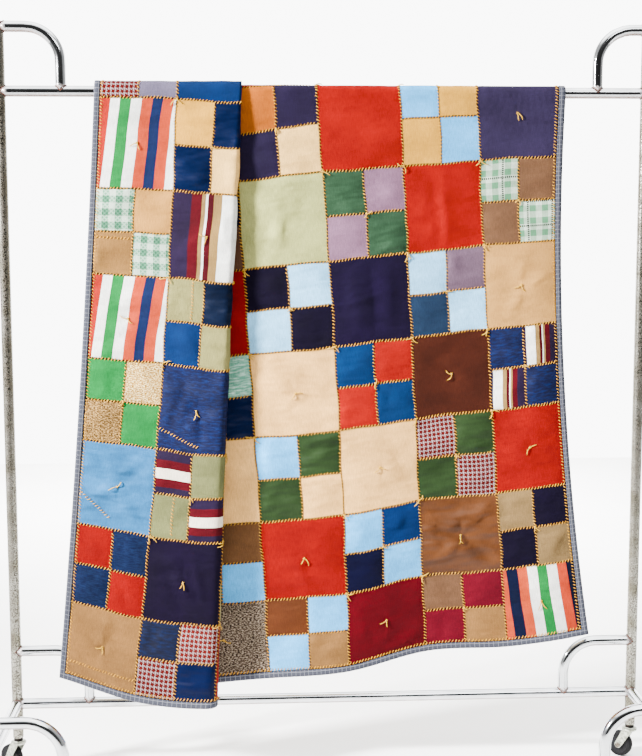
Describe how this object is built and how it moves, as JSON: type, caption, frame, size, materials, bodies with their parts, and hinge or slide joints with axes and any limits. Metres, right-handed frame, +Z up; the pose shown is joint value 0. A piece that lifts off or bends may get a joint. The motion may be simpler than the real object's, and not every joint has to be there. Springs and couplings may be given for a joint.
{
  "type": "patchwork quilt on a rolling garment rack",
  "caption": "Patchwork quilt hung over the rail of a chrome garment rack on swivel casters, its left side folded forward in a deep pleat.",
  "frame": {"origin": "middle of the part's footprint, on the floor", "axes": "+Z up, +X along the rail, -Y the side that the long drop of the quilt and the base face"},
  "size_m": [1.5934, 0.5418, 1.807],
  "materials": {
    "quilt_cloth": "woven cotton and wool patches in many colours, matte",
    "binding_cloth": "grey checked cotton, matte",
    "chrome_tube": "polished chrome plate, dulled and rust-stained at the welds",
    "zinc_fork": "zinc-plated pressed steel",
    "black_collar": "matte black",
    "wheel_rubber": "matte black rubber",
    "axle_steel": "plain steel"
  },
  "bodies": {
    "root": {"quilt_panel": "quilt_cloth", "binding_left": "binding_cloth", "binding_right": "binding_cloth", "binding_front": "binding_cloth", "binding_back": "binding_cloth", "top_rail": "chrome_tube", "low_rail": "chrome_tube", "front_rail": "chrome_tube", "side_leg_left": "chrome_tube", "side_leg_right": "chrome_tube", "upright_left": "chrome_tube", "upright_right": "chrome_tube", "front_post_left": "chrome_tube", "front_post_right": "chrome_tube", "top_brace_left": "chrome_tube", "top_brace_right": "chrome_tube", "low_brace_left": "chrome_tube", "low_brace_right": "chrome_tube", "front_brace_left": "chrome_tube", "front_brace_right": "chrome_tube", "caster_collar_rear_left": "black_collar", "caster_fork_rear_left": "zinc_fork", "caster_wheel_rear_left": "wheel_rubber", "caster_axle_rear_left": "axle_steel", "caster_collar_rear_right": "black_collar", "caster_fork_rear_right": "zinc_fork", "caster_wheel_rear_right": "wheel_rubber", "caster_axle_rear_right": "axle_steel", "caster_collar_front_left": "black_collar", "caster_fork_front_left": "zinc_fork", "caster_wheel_front_left": "wheel_rubber", "caster_axle_front_left": "axle_steel", "caster_collar_front_right": "black_collar", "caster_fork_front_right": "zinc_fork", "caster_wheel_front_right": "wheel_rubber", "caster_axle_front_right": "axle_steel"}
  },
  "joints": []
}
